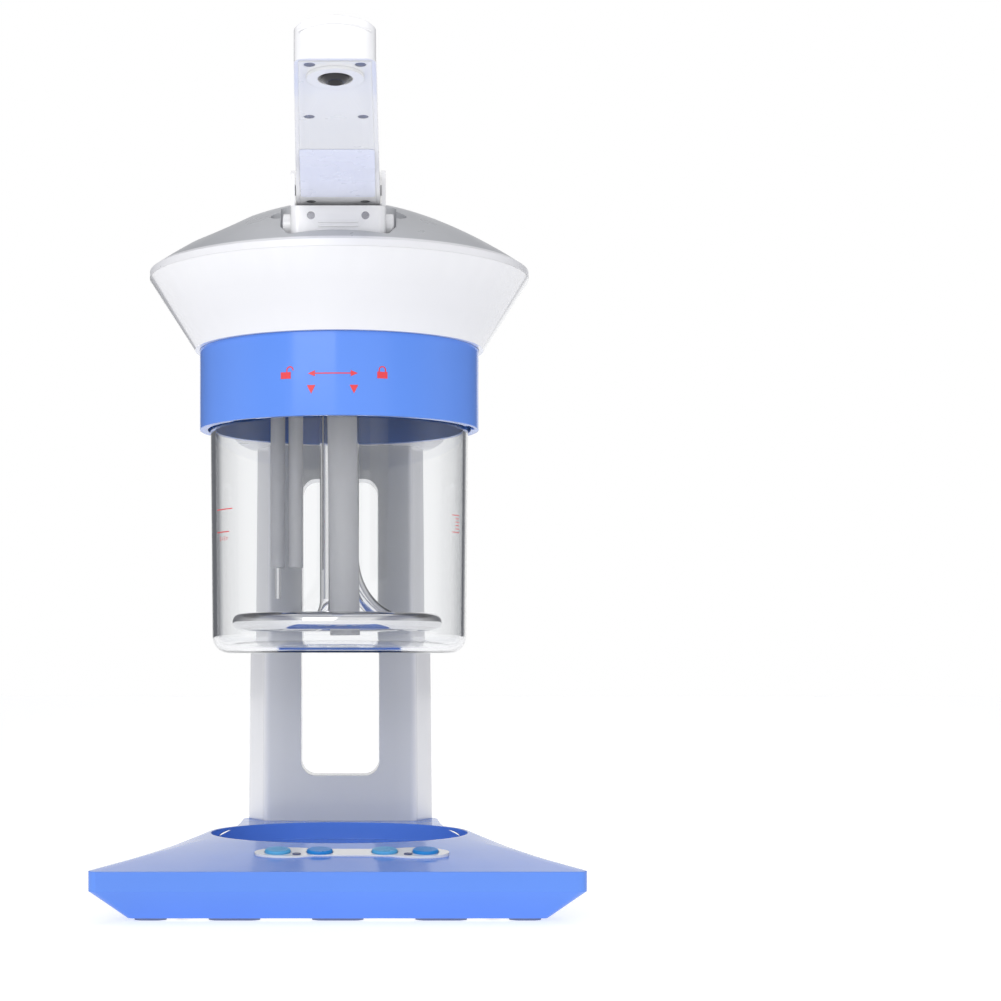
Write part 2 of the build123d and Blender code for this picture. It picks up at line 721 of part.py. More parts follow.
def notch_prism(margin, bottom):
    """The shallow half-round finger notches beside the well, just behind the release buttons."""
    with BuildPart() as prism:
        with BuildSketch(FLOOR.offset(bottom)):
            with Locations((-26, NOTCH_Y), (26, NOTCH_Y)):
                Circle(7 + margin)
        extrude(amount=DOME_TOP + 10 - bottom)
    return prism.part


def filler_prism(margin, bottom):
    """The filler well's volume: an ellipse, longer from front to back."""
    with BuildPart() as prism:
        with BuildSketch(FLOOR.offset(bottom)):
            with Locations((FILL_X, FILL_Y)):
                Ellipse(15 + margin, 20 + margin)
        extrude(amount=DOME_TOP + 10 - bottom)
    return prism.part


with BuildPart() as under_dome:
    with BuildSketch(SIDE):
        Polygon(
            (0, HEAD_BOTTOM + 3),
            (SKIRT_RADIUS - 0.9, HEAD_BOTTOM + 3),
            (HEAD_RADIUS - 3.4, LIP_BOTTOM),
            (HEAD_RADIUS - 1.5, LIP_BOTTOM),
            (HEAD_RADIUS - 1.5, DOME_TOP),
            (0, DOME_TOP),
            align=None,
        )
    revolve(axis=UPRIGHT)
    add(crown_block(DOME_WALL / 2), mode=Mode.INTERSECT)

with BuildPart() as well_walls:
    add(well_prism(DOME_WALL, WELL_FLOOR - DOME_WALL))
    add(filler_prism(DOME_WALL, FILL_FLOOR - DOME_WALL))
    add(notch_prism(DOME_WALL, NOTCH_FLOOR - DOME_WALL))
    add(under_dome.part, mode=Mode.INTERSECT)

with BuildPart() as top_shell:
    add(head_block(0, COLLAR_BOTTOM, HOUSING_FRONT))
    add(head_block(DOME_WALL, COLLAR_BOTTOM + DOME_WALL, 12.0), mode=Mode.SUBTRACT)
    add(column_block(-0.2), mode=Mode.SUBTRACT)
    with BuildSketch(FLOOR.offset(COLLAR_BOTTOM - 5)):
        Circle(COLLAR_RADIUS + 0.2)
    extrude(amount=HEAD_BOTTOM - COLLAR_BOTTOM + 5, mode=Mode.SUBTRACT)
    add(well_walls.part)
    add(well_prism(0, WELL_FLOOR), mode=Mode.SUBTRACT)
    add(filler_prism(0, FILL_FLOOR), mode=Mode.SUBTRACT)
    add(notch_prism(0, NOTCH_FLOOR), mode=Mode.SUBTRACT)
    with BuildSketch(FLOOR.offset(WELL_FLOOR - 10)):
        with Locations((0, SEAT_Y)):
            Circle(8)
    extrude(amount=12, mode=Mode.SUBTRACT)
    with BuildSketch(FLOOR.offset(FILL_FLOOR - 10)):
        with Locations((FILL_X, FILL_Y)):
            Circle(9.5)
    extrude(amount=12, mode=Mode.SUBTRACT)
    with BuildSketch(FLOOR.offset(LIP_TOP)):
        with Locations((57.5, FILL_Y)):
            Circle(2.6)
    extrude(amount=40, mode=Mode.SUBTRACT)
save(top_shell, "top_shell")

with BuildPart() as seat_bush:
    add(upright_cylinders(((0, SEAT_Y),), 8.0, WELL_FLOOR - DOME_WALL, WELL_FLOOR))
    add(upright_cylinders(((0, SEAT_Y),), 11.0, WELL_FLOOR, WELL_FLOOR + 0.7))
    add(upright_cylinders(((0, SEAT_Y),), 5.0, WELL_FLOOR - 5, WELL_FLOOR + 5), mode=Mode.SUBTRACT)
save(seat_bush, "seat_bush")

with BuildPart() as filler_cap:
    add(upright_cylinders(((FILL_X, FILL_Y),), 9.1, FILL_FLOOR - DOME_WALL, FILL_FLOOR + 0.9))
    add(upright_cylinders(((FILL_X, FILL_Y),), 10.6, FILL_FLOOR + 0.9, FILL_FLOOR + 4.5))
    with BuildSketch(FLOOR.offset(FILL_FLOOR + 4.5)):
        with Locations((FILL_X, FILL_Y)):
            SlotOverall(15, 3.2)
    extrude(amount=3)
save(filler_cap, "filler_cap")

with BuildPart() as filler_cap_seal:
    with BuildSketch(FLOOR.offset(FILL_FLOOR + 0.3)):
        with Locations((FILL_X, FILL_Y)):
            Circle(10.6)
            Circle(9.1, mode=Mode.SUBTRACT)
    extrude(amount=0.6)
save(filler_cap_seal, "filler_cap_seal")

# ---------------------------------------------------------------- yoke that carries the arm
YOKE_BOTTOM = WELL_FLOOR + 1.0
YOKE_WALL = 2.5
YOKE_SCREW_Z = 331.3
SPIGOT_RADIUS = 4.7

with BuildPart() as yoke:
    with BuildSketch(FLOOR.offset(YOKE_BOTTOM)):
        with Locations((0, (YOKE_FRONT + YOKE_BACK) / 2)):
            RectangleRounded(2 * YOKE_HALF, YOKE_BACK - YOKE_FRONT, 4)
    extrude(amount=YOKE_TOP - YOKE_BOTTOM)
    with BuildSketch(FLOOR.offset(YOKE_BOTTOM)):
        with Locations((0, (YOKE_FRONT + YOKE_BACK) / 2)):
            Rectangle(2 * YOKE_HALF - 2 * YOKE_WALL, YOKE_BACK - YOKE_FRONT - 2 * YOKE_WALL)
    extrude(amount=YOKE_TOP - YOKE_BOTTOM - YOKE_WALL, mode=Mode.SUBTRACT)
    for side in (-1, 1):
        with BuildSketch(SIDE.offset(side * 21.6)):
            with BuildLine():
                FilletPolyline(
                    (HINGE_Y - 8.5, YOKE_TOP - 3),
                    (HINGE_Y + 9.5, YOKE_TOP - 3),
                    (HINGE_Y + 7.5, 352.5),
                    (HINGE_Y + 4.5, 354.5),
                    (HINGE_Y - 4.5, 354.5),
                    (HINGE_Y - 7.5, 352.5),
                    radius=0.8,
                    close=True,
                )
            make_face()
        extrude(amount=1.0, both=True)
    with BuildSketch(SIDE.offset(-30)):
        with Locations((BUTTON_Y, BUTTON_Z)):
            Circle(RELEASE_RADIUS + CLEAR)
    extrude(amount=60, mode=Mode.SUBTRACT)
    with BuildSketch(SIDE.offset(-30)):
        with Locations((HINGE_Y, HINGE_Z)):
            Circle(2.5)
    extrude(amount=60, mode=Mode.SUBTRACT)
    with BuildSketch(FLOOR.offset(YOKE_TOP - 5)):
        with Locations((0, SEAT_Y)):
            Circle(SPIGOT_RADIUS)
    extrude(amount=8, mode=Mode.SUBTRACT)
    with BuildSketch(FRONT.offset(-YOKE_FRONT)):
        with Locations((-12.9, YOKE_SCREW_Z), (12.9, YOKE_SCREW_Z)):
            Circle(1.9)
    extrude(amount=-6, mode=Mode.SUBTRACT)
    with BuildSketch(FRONT.offset(-YOKE_FRONT)):
        with Locations((0, 328.3), (0, 326.3), (0, 324.3)):
            SlotOverall(19, 0.9)
    extrude(amount=0.5)
save(yoke, "yoke")

with BuildPart() as yoke_screws:
    with BuildSketch(FRONT.offset(-YOKE_FRONT - 0.5)):
        with Locations((-12.9, YOKE_SCREW_Z), (12.9, YOKE_SCREW_Z)):
            Circle(1.9)
    extrude(amount=-6)
save(yoke_screws, "yoke_screws")

with BuildPart() as yoke_base:
    with BuildSketch(FLOOR.offset(YOKE_BOTTOM)):
        with Locations((0, (YOKE_FRONT + YOKE_BACK) / 2)):
            Rectangle(2 * YOKE_HALF - 2 * YOKE_WALL, YOKE_BACK - YOKE_FRONT - 2 * YOKE_WALL)
        with Locations((0, SEAT_Y)):
            Circle(SPIGOT_RADIUS, mode=Mode.SUBTRACT)
    extrude(amount=2)
save(yoke_base, "yoke_base")

with BuildPart() as steam_spigot:
    add(upright_cylinders(((0, SEAT_Y),), SPIGOT_RADIUS, WELL_FLOOR - 2.5, YOKE_TOP))
    add(upright_cylinders(((0, SEAT_Y),), 3.3, WELL_FLOOR - 5, YOKE_TOP + 5), mode=Mode.SUBTRACT)
save(steam_spigot, "steam_spigot")

for name, start, out in (("hinge_pin_left", -22.6, 1), ("hinge_pin_right", 22.6, -1)):
    with BuildPart() as hinge_pin:
        with BuildSketch(SIDE.offset(start)):
            with Locations((HINGE_Y, HINGE_Z)):
                Circle(2.5)
        extrude(amount=out * 10.6)
    save(hinge_pin, name)

for name, out in (("release_button_left", -1), ("release_button_right", 1)):
    with BuildPart() as release_button:
        with BuildSketch(SIDE.offset(out * 22.2)):
            with Locations((BUTTON_Y, BUTTON_Z)):
                Circle(RELEASE_RADIUS)
        extrude(amount=out * 4.4)
        fillet(release_button.edges().sort_by(Axis.X)[-1 if out > 0 else 0], 1.0)
        with BuildSketch(SIDE.offset(out * 13.0)):
            with Locations((BUTTON_Y, BUTTON_Z)):
                Circle(2.5)
        extrude(amount=out * 9.2)
    save(release_button, name)

# ---------------------------------------------------------------- arm
PLATE_START = 5.0
PLATE_END = 189.5
PLATE_INSET = 1.8
PLATE_THICK = 2.0
NOZZLE_S = 174.0
ARM_SCREWS = ((10.0, 12.8), (127.0, 11.3), (186.0, 10.0))
ARM_AHEAD = (0, -cos(radians(ARM_TILT)), sin(radians(ARM_TILT)))


def arm_half(along):
    """Half the arm's width at a distance from the hinge."""
    return ARM_HALF - (ARM_HALF - TIP_HALF) * along / ARM_LENGTH


def arm_section(along, inset, low):
    """The arm's cross-section: flat sides and underside, and an arched top."""
    half = arm_half(along) - inset
    start = Vector(0, AXIS_Y + HINGE_Y, HINGE_Z) + Vector(*ARM_AHEAD) * along
    with BuildSketch(Plane(origin=start, x_dir=(1, 0, 0), z_dir=ARM_AHEAD)) as section:
        with BuildLine():
            under = Line((-half, low), (half, low))
            right = Line(under @ 1, (half, SIDE_TOP - inset))
            arch = ThreePointArc(right @ 1, (0, ARCH_TOP - inset), (-half, SIDE_TOP - inset))
            Line(arch @ 1, under @ 0)
        make_face()
    return section.sketch


def plate_prism(bottom, thick):
    """The underside plate's volume."""
    with BuildPart() as prism:
        with BuildSketch(ARM.offset(bottom)):
            Polygon(
                (-arm_half(PLATE_START) + PLATE_INSET, -PLATE_START),
                (arm_half(PLATE_START) - PLATE_INSET, -PLATE_START),
                (arm_half(PLATE_END) - PLATE_INSET, -PLATE_END),
                (-arm_half(PLATE_END) + PLATE_INSET, -PLATE_END),
                align=None,
            )
        extrude(amount=thick)
    return prism.part


SCREW_PLACES = [(side * x, -along) for along, x in ARM_SCREWS for side in (-1, 1)]

with BuildPart() as arm_shell:
    loft(sections=[arm_section(0, 0, -BARREL), arm_section(ARM_LENGTH, 0, -BARREL)], ruled=True)
    tip_edges = arm_shell.edges().filter_by(Axis((0, 0, 0), ARM_UP)).sort_by(Axis.Y)[:2]
    fillet(tip_edges, 5.0)
    with BuildSketch(SIDE.offset(-ARM_HALF)):
        with Locations((HINGE_Y, HINGE_Z)):
            Circle(BARREL)
    extrude(amount=2 * ARM_HALF)
    hollow_start = arm_section(14, ARM_WALL, -BARREL - 1)
    hollow_end = arm_section(ARM_LENGTH - 2.2, ARM_WALL, -BARREL - 1)
    loft(sections=[hollow_start, hollow_end], ruled=True, mode=Mode.SUBTRACT)
    with BuildSketch(ARM.offset(-BARREL + PLATE_THICK)):
        with Locations(*SCREW_PLACES):
            Circle(2.6)
    extrude(amount=BARREL + SIDE_TOP - PLATE_THICK - 0.5)
    add(plate_prism(-BARREL - 1, PLATE_THICK + 1), mode=Mode.SUBTRACT)
    with BuildSketch(ARM.offset(-BARREL)):
        with Locations(*SCREW_PLACES):
            Circle(1.2)
    extrude(amount=7, mode=Mode.SUBTRACT)
    with BuildSketch(SIDE.offset(-25)):
        with Locations((HINGE_Y, HINGE_Z)):
            Circle(2.56)
    extrude(amount=50, mode=Mode.SUBTRACT)
    with BuildSketch(ARM.offset(-BARREL - 1)):
        with Locations((0, 3)):
            Rectangle(9, 13)
    extrude(amount=BARREL + 1, mode=Mode.SUBTRACT)
    with BuildSketch(Plane(origin=ARM.origin, x_dir=(1, 0, 0), z_dir=ARM_AHEAD)):
        with Locations((0, -2)):
            Circle(3.6)
    extrude(amount=15, mode=Mode.SUBTRACT)
save(arm_shell, "arm_shell")

with BuildPart() as arm_underplate:
    add(plate_prism(-BARREL, PLATE_THICK))
    with BuildSketch(ARM.offset(-BARREL)):
        with Locations(*SCREW_PLACES):
            Circle(1.3)
        with Locations((0, -NOZZLE_S)):
            Circle(7)
    extrude(amount=3, mode=Mode.SUBTRACT)
    with BuildSketch(ARM.offset(-BARREL)):
        with Locations(*SCREW_PLACES):
            Circle(2.3)
    extrude(amount=1.2, mode=Mode.SUBTRACT)
save(arm_underplate, "arm_underplate")

with BuildPart() as arm_screws:
    with BuildSketch(ARM.offset(-BARREL + 0.1)):
        with Locations(*SCREW_PLACES):
            Circle(2.2)
    extrude(amount=1.1)
    with BuildSketch(ARM.offset(-BARREL + 1.2)):
        with Locations(*SCREW_PLACES):
            Circle(1.15)
    extrude(amount=5)
save(arm_screws, "arm_screws")

with BuildPart() as arm_tube:
    with BuildSketch(Plane(origin=ARM.origin + Vector(*ARM_AHEAD) * 14, x_dir=(1, 0, 0), z_dir=ARM_AHEAD)):
        with Locations((0, -2)):
            Circle(3.6)
            Circle(2.4, mode=Mode.SUBTRACT)
    extrude(amount=NOZZLE_S - 14 - 6.9)
save(arm_tube, "arm_tube")

with BuildPart() as nozzle_ring:
    with BuildSketch(ARM.offset(-BARREL - 1.3)):
        with Locations((0, -NOZZLE_S)):
            Circle(11.5)
            Circle(7, mode=Mode.SUBTRACT)
    extrude(amount=1.3)
save(nozzle_ring, "nozzle_ring")

with BuildPart() as nozzle:
    with BuildSketch(ARM.offset(-BARREL - 0.8)):
        with Locations((0, -NOZZLE_S)):
            Circle(6.8)
    extrude(amount=11.5)
    with BuildSketch(ARM.offset(-BARREL - 3.5)):
        with Locations((0, -NOZZLE_S)):
            Circle(4.7)
    extrude(amount=2.7)
    with BuildSketch(ARM.offset(-BARREL - 4)):
        with Locations((0, -NOZZLE_S)):
            Circle(1.6)
    extrude(amount=12, mode=Mode.SUBTRACT)
save(nozzle, "nozzle")
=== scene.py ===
import json
from math import cos, pi, radians, sin

import bmesh
import bpy
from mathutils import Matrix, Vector


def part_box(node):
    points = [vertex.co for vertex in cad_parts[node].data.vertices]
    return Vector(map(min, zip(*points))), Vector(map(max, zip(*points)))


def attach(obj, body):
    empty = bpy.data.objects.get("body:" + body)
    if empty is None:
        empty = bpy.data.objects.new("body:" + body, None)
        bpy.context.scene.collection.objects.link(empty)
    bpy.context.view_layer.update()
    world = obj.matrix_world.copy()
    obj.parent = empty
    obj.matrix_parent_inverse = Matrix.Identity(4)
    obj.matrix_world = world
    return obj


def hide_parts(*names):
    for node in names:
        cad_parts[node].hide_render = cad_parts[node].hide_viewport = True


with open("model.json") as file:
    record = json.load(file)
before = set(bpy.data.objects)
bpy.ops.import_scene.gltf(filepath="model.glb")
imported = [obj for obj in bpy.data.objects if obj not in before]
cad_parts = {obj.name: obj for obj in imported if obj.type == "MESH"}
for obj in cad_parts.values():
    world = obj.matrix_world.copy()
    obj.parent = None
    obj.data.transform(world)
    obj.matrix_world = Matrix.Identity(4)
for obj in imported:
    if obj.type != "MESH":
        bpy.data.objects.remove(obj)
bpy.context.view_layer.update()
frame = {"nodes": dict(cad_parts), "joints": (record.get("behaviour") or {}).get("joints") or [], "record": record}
nodes = frame["nodes"]
joints = {joint["name"]: joint for joint in frame["joints"]}

MM = 0.001
AXIS = Vector(joints["beaker_turn"]["pos_m"])
AXIS.z = 0.0
HINGE = Vector(joints["arm_tilt"]["pos_m"])
ARM_TILT = radians(5.0)
ARM_AHEAD = Vector((0, -cos(ARM_TILT), sin(ARM_TILT)))
ARM_UP = Vector((0, sin(ARM_TILT), cos(ARM_TILT)))
RING_LOW, RING_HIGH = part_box("nozzle_ring")
NOZZLE_OUT = ((RING_LOW + RING_HIGH) / 2 - HINGE).dot(ARM_AHEAD) / MM
UNDERSIDE = 8.7 * MM        # the arm's flat underside below the hinge line
ARM_REACH = 192.7 * MM      # hinge to the arm's end
PRINT_THICK = 0.00008       # the thickness of printed marks
LUG_STARTS = (84.0, 204.0, 324.0)   # degrees round the beaker where its lugs begin
LUG_ARC = 12.0              # degrees that each lug spans
COLLAR_RADIUS = 71.5 * MM   # the collar's outer face, where the legend is
PRINT_RADIUS = 65.9 * MM    # just outside the glass, where the level marks are


# ---------------------------------------------------------------- material helpers
def new_material(name):
    """An empty node material with a Principled shader, and its node tree."""
    material = bpy.data.materials.new(name)
    material.use_nodes = True
    tree = material.node_tree
    return material, tree, tree.nodes["Principled BSDF"]


def add_node(tree, kind, **values):
    """A shader node with its properties or sockets set."""
    node = tree.nodes.new(kind)
    for key, value in values.items():
        if key in node.inputs:
            node.inputs[key].default_value = value
        else:
            setattr(node, key, value)
    return node


def noise(tree, scale, detail=3.0, roughness=0.5, stretch=(1, 1, 1)):
    """Noise in the object's own metres, which can be stretched along an axis."""
    place = add_node(tree, "ShaderNodeTexCoord")
    mapping = add_node(tree, "ShaderNodeMapping")
    mapping.inputs["Scale"].default_value = stretch
    texture = add_node(tree, "ShaderNodeTexNoise", Scale=scale, Detail=detail, Roughness=roughness)
    tree.links.new(place.outputs["Object"], mapping.inputs["Vector"])
    tree.links.new(mapping.outputs["Vector"], texture.inputs["Vector"])
    return texture.outputs["Fac"]


def ramp(tree, source, stops):
    """A colour ramp with stops of (position, colour or grey)."""
    node = add_node(tree, "ShaderNodeValToRGB")
    elements = node.color_ramp.elements
    while len(elements) < len(stops):
        elements.new(0.5)
    for element, (position, value) in zip(elements, stops):
        element.position = position
        grey = not hasattr(value, "__len__")
        element.color = (value, value, value, 1) if grey else (*value, 1)
    tree.links.new(source, node.inputs["Fac"])
    return node.outputs["Color"]


def shade(colour, factor):
    """A colour made darker or lighter by a factor."""
    return tuple(min(1.0, c * factor) for c in colour)


def worn_colour(tree, colour, contrast, wear):
    """Broad cloudy variation, with edges that are rubbed a little lighter."""
    stops = ((0.3, shade(colour, 1 - contrast)), (0.7, shade(colour, 1 + contrast)))
    clouds = ramp(tree, noise(tree, 14.0), stops)
    geometry = add_node(tree, "ShaderNodeNewGeometry")
    edges = ramp(tree, geometry.outputs["Pointiness"], ((0.52, 0.0), (0.60, 1.0)))
    amount = add_node(tree, "ShaderNodeMath", operation="MULTIPLY")
    amount.inputs[1].default_value = wear
    tree.links.new(edges, amount.inputs[0])
    mix = add_node(tree, "ShaderNodeMix", data_type="RGBA")
    tree.links.new(amount.outputs[0], mix.inputs["Factor"])
    tree.links.new(clouds, mix.inputs["A"])
    mix.inputs["B"].default_value = (*shade(colour, 1.35), 1)
    return mix.outputs["Result"]


def surface_relief(tree, shader, scale, depth, edge):
    """Fine grain in the surface, and softly rounded edges."""
    rounding = add_node(tree, "ShaderNodeBevel", samples=8, Radius=edge)
    bump = add_node(tree, "ShaderNodeBump", Strength=depth, Distance=0.0002)
    tree.links.new(noise(tree, scale, detail=4.0), bump.inputs["Height"])
    tree.links.new(rounding.outputs["Normal"], bump.inputs["Normal"])
    tree.links.new(bump.outputs["Normal"], shader.inputs["Normal"])


def plastic(name, colour, gloss, grain=0.04, coat=0.0, contrast=0.02, wear=0.3, edge=0.0006, glow=0.0,
            shine=0.5):
    """Moulded plastic: cloudy colour, uneven gloss, fine grain and rubbed edges."""
    material, tree, shader = new_material(name)
    tree.links.new(worn_colour(tree, colour, contrast, wear), shader.inputs["Base Color"])
    rough = ramp(tree, noise(tree, 55.0), ((0.3, max(0.02, gloss - 0.04)), (0.75, gloss + 0.06)))
    tree.links.new(rough, shader.inputs["Roughness"])
    shader.inputs["Coat Weight"].default_value = coat
    shader.inputs["Coat Roughness"].default_value = 0.05
    shader.inputs["Specular IOR Level"].default_value = shine
    if glow:
        shader.inputs["Subsurface Weight"].default_value = glow
        shader.inputs["Subsurface Radius"].default_value = (0.004, 0.004, 0.004)
        shader.inputs["Subsurface Scale"].default_value = 1.0
    surface_relief(tree, shader, 2600.0, grain, edge)
    return material


def metal(name, colour, roughness, stretch):
    """Drawn metal: fine scratches along one direction and uneven polish."""
    material, tree, shader = new_material(name)
    tone = ramp(tree, noise(tree, 30.0), ((0.3, shade(colour, 0.92)), (0.7, colour)))
    tree.links.new(tone, shader.inputs["Base Color"])
    shader.inputs["Metallic"].default_value = 1.0
    scratches = noise(tree, 900.0, detail=5.0, stretch=stretch)
    rough = ramp(tree, scratches, ((0.35, roughness * 0.7), (0.7, roughness * 1.5)))
    tree.links.new(rough, shader.inputs["Roughness"])
    bump = add_node(tree, "ShaderNodeBump", Strength=0.05, Distance=0.0001)
    tree.links.new(scratches, bump.inputs["Height"])
    tree.links.new(bump.outputs["Normal"], shader.inputs["Normal"])
    return material


def clear_glass():
    """Clear borosilicate glass with the faint unevenness of a blown wall."""
    material, tree, shader = new_material("clear_glass")
    shader.inputs["Base Color"].default_value = (0.985, 0.99, 0.995, 1)
    shader.inputs["Transmission Weight"].default_value = 1.0
    shader.inputs["IOR"].default_value = 1.47
    rough = ramp(tree, noise(tree, 40.0), ((0.4, 0.0), (0.8, 0.02)))
    tree.links.new(rough, shader.inputs["Roughness"])
    bump = add_node(tree, "ShaderNodeBump", Strength=0.04, Distance=0.0005)
    tree.links.new(noise(tree, 18.0, stretch=(1, 1, 0.25)), bump.inputs["Height"])
    tree.links.new(bump.outputs["Normal"], shader.inputs["Normal"])
    body = add_node(tree, "ShaderNodeVolumeAbsorption", Color=(0.45, 0.48, 0.51, 1), Density=14.0)
    tree.links.new(body.outputs["Volume"], tree.nodes["Material Output"].inputs["Volume"])
    return material


def frosted_tube():
    """Milky tubing that lets some light through."""
    material, tree, shader = new_material("frosted_tube")
    stops = ((0.3, (0.80, 0.81, 0.83)), (0.7, (0.88, 0.88, 0.90)))
    tone = ramp(tree, noise(tree, 25.0, stretch=(1, 1, 0.1)), stops)
    tree.links.new(tone, shader.inputs["Base Color"])
    shader.inputs["Transmission Weight"].default_value = 0.35
    shader.inputs["IOR"].default_value = 1.35
    rough = ramp(tree, noise(tree, 80.0), ((0.3, 0.28), (0.7, 0.42)))
    tree.links.new(rough, shader.inputs["Roughness"])
    surface_relief(tree, shader, 1500.0, 0.05, 0.0004)
    return material


def column_painted_shade():
    """The column: painted shade greys its front face to mid grey, turning to near white on its swept sides."""
    material, tree, shader = new_material("column_painted_shade")
    place = add_node(tree, "ShaderNodeTexCoord")
    split = add_node(tree, "ShaderNodeSeparateXYZ")
    tree.links.new(place.outputs["Object"], split.inputs["Vector"])
    side = add_node(tree, "ShaderNodeMath", operation="ABSOLUTE")
    tree.links.new(split.outputs["X"], side.inputs[0])
    reach = add_node(tree, "ShaderNodeMapRange")
    reach.inputs["From Min"].default_value = 0.030
    reach.inputs["From Max"].default_value = 0.045
    tree.links.new(side.outputs[0], reach.inputs["Value"])
    # painted shade: the mid grey of the front face stands for the shade on it, and the swept sides keep the
    # plastic's near white
    stops = (
        (0.0, (0.62, 0.63, 0.65)),
        (0.55, (0.66, 0.67, 0.69)),
        (0.8, (0.82, 0.82, 0.84)),
        (1.0, (0.86, 0.86, 0.87)),
    )
    tone = ramp(tree, reach.outputs["Result"], stops)
    clouds = ramp(tree, noise(tree, 9.0), ((0.3, 0.96), (0.7, 1.0)))
    mix = add_node(tree, "ShaderNodeMix", data_type="RGBA", blend_type="MULTIPLY")
    mix.inputs["Factor"].default_value = 1.0
    tree.links.new(tone, mix.inputs["A"])
    tree.links.new(clouds, mix.inputs["B"])
    tree.links.new(mix.outputs["Result"], shader.inputs["Base Color"])
    rough = ramp(tree, noise(tree, 50.0), ((0.3, 0.16), (0.75, 0.26)))
    tree.links.new(rough, shader.inputs["Roughness"])
    shader.inputs["Coat Weight"].default_value = 0.3
    surface_relief(tree, shader, 2400.0, 0.03, 0.0006)
    return material


def shell_painted_shade():
    """The head's top: painted shade makes the dome satin grey, fading to the plastic's own white at the lip and
    down the housing.
    """
    material, tree, shader = new_material("shell_painted_shade")
    place = add_node(tree, "ShaderNodeTexCoord")
    split = add_node(tree, "ShaderNodeSeparateXYZ")
    tree.links.new(place.outputs["Object"], split.inputs["Vector"])
    height = add_node(tree, "ShaderNodeMapRange")
    height.inputs["From Min"].default_value = 0.316
    height.inputs["From Max"].default_value = 0.356
    tree.links.new(split.outputs["Z"], height.inputs["Value"])
    white = (0.86, 0.86, 0.88)
    # painted shade: the greys of the dome, darker low and lighter at the crown, stand for the light on one white
    # plastic; the white stop at the lip is its own colour
    stops = (
        (0.0, white),
        (0.085, white),
        (0.10, (0.50, 0.51, 0.53)),
        (0.5, (0.56, 0.57, 0.59)),
        (1.0, (0.60, 0.61, 0.63)),
    )
    tone = ramp(tree, height.outputs["Result"], stops)
    clouds = ramp(tree, noise(tree, 12.0), ((0.3, 0.97), (0.7, 1.0)))
    mix = add_node(tree, "ShaderNodeMix", data_type="RGBA", blend_type="MULTIPLY")
    mix.inputs["Factor"].default_value = 1.0
    tree.links.new(tone, mix.inputs["A"])
    tree.links.new(clouds, mix.inputs["B"])
    tree.links.new(mix.outputs["Result"], shader.inputs["Base Color"])
    rough = ramp(tree, noise(tree, 60.0), ((0.3, 0.26), (0.7, 0.36)))
    tree.links.new(rough, shader.inputs["Roughness"])
    surface_relief(tree, shader, 1600.0, 0.02, 0.0004)
    return material


BLUE = (0.115, 0.265, 0.80)
MATERIALS = {
    "blue_gloss": plastic("blue_gloss", BLUE, 0.13, grain=0.015, contrast=0.03, wear=0.25, shine=0.3),
    "white_gloss": plastic(
        "white_gloss", (0.83, 0.83, 0.845), 0.14, grain=0.01, coat=0.5, glow=0.06, edge=0.0004),
    "column_grey": column_painted_shade(),
    "shell_satin": shell_painted_shade(),
    "white_satin": plastic("white_satin", (0.78, 0.785, 0.80), 0.3, grain=0.06, coat=0.2),
    "clear_glass": clear_glass(),
    "stainless": metal("stainless", (0.80, 0.80, 0.81), 0.07, (1, 1, 0.2)),
    "steel": metal("steel", (0.34, 0.34, 0.36), 0.34, (1, 1, 1)),
    "tube_translucent": frosted_tube(),
    "silicone": plastic("silicone", (0.70, 0.70, 0.73), 0.5, grain=0.08, glow=0.2),
    "black_rubber": plastic("black_rubber", (0.16, 0.20, 0.34), 0.6, grain=0.15),
    "black_plastic": plastic("black_plastic", (0.015, 0.015, 0.018), 0.25, grain=0.05),
    "button_light": plastic("button_light", (0.09, 0.40, 0.74), 0.28, shine=0.3),
    "button_deep": plastic("button_deep", (0.012, 0.24, 0.68), 0.28, shine=0.3),
    "led_dark": plastic("led_dark", (0.03, 0.05, 0.16), 0.2, shine=0.4),
    "board_green": plastic("board_green", (0.02, 0.16, 0.07), 0.4, grain=0.1),
    "cap_blue": plastic("cap_blue", (0.02, 0.065, 0.36), 0.2, coat=0.3),
}
PRINT_RED = plastic("print_red", (0.72, 0.045, 0.06), 0.4, grain=0.1, edge=0.0001)
LAVENDER = plastic("lavender_label", (0.72, 0.75, 0.93), 0.28, grain=0.05, edge=0.0001)

SLOT_OF = {part["node"]: part["material_slot"] for part in frame["record"]["subparts"]}
for node_name, node_object in nodes.items():
    node_object.data.materials.clear()
    node_object.data.materials.append(MATERIALS[SLOT_OF[node_name]])


# ---------------------------------------------------------------- mesh helpers
def mesh_piece(name, shape, material, body):
    """Turn a bmesh into a named piece that rides on a body."""
    mesh = bpy.data.meshes.new(name)
    bmesh.ops.recalc_face_normals(shape, faces=shape.faces)
    shape.to_mesh(mesh)
    shape.free()
    piece = bpy.data.objects.new(name, mesh)
    bpy.context.scene.collection.objects.link(piece)
    mesh.materials.append(material)
    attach(piece, body)
    return piece


def smooth(piece, angle=35):
    """Smooth shading that keeps edges sharper than an angle."""
    for polygon in piece.data.polygons:
        polygon.use_smooth = True
    piece.data.set_sharp_from_angle(angle=radians(angle))


def join_loops(shape, first, second):
    """Four-sided faces between two loops with the same number of points."""
    count = len(first)
    for index in range(count):
        after = (index + 1) % count
        shape.faces.new((first[index], first[after], second[after], second[index]))


def join_rows(shape, rows):
    """A closed bar through a row of loops, capped at both ends."""
    for first, second in zip(rows, rows[1:]):
        join_loops(shape, first, second)
    shape.faces.new(rows[0])
    shape.faces.new(list(reversed(rows[-1])))


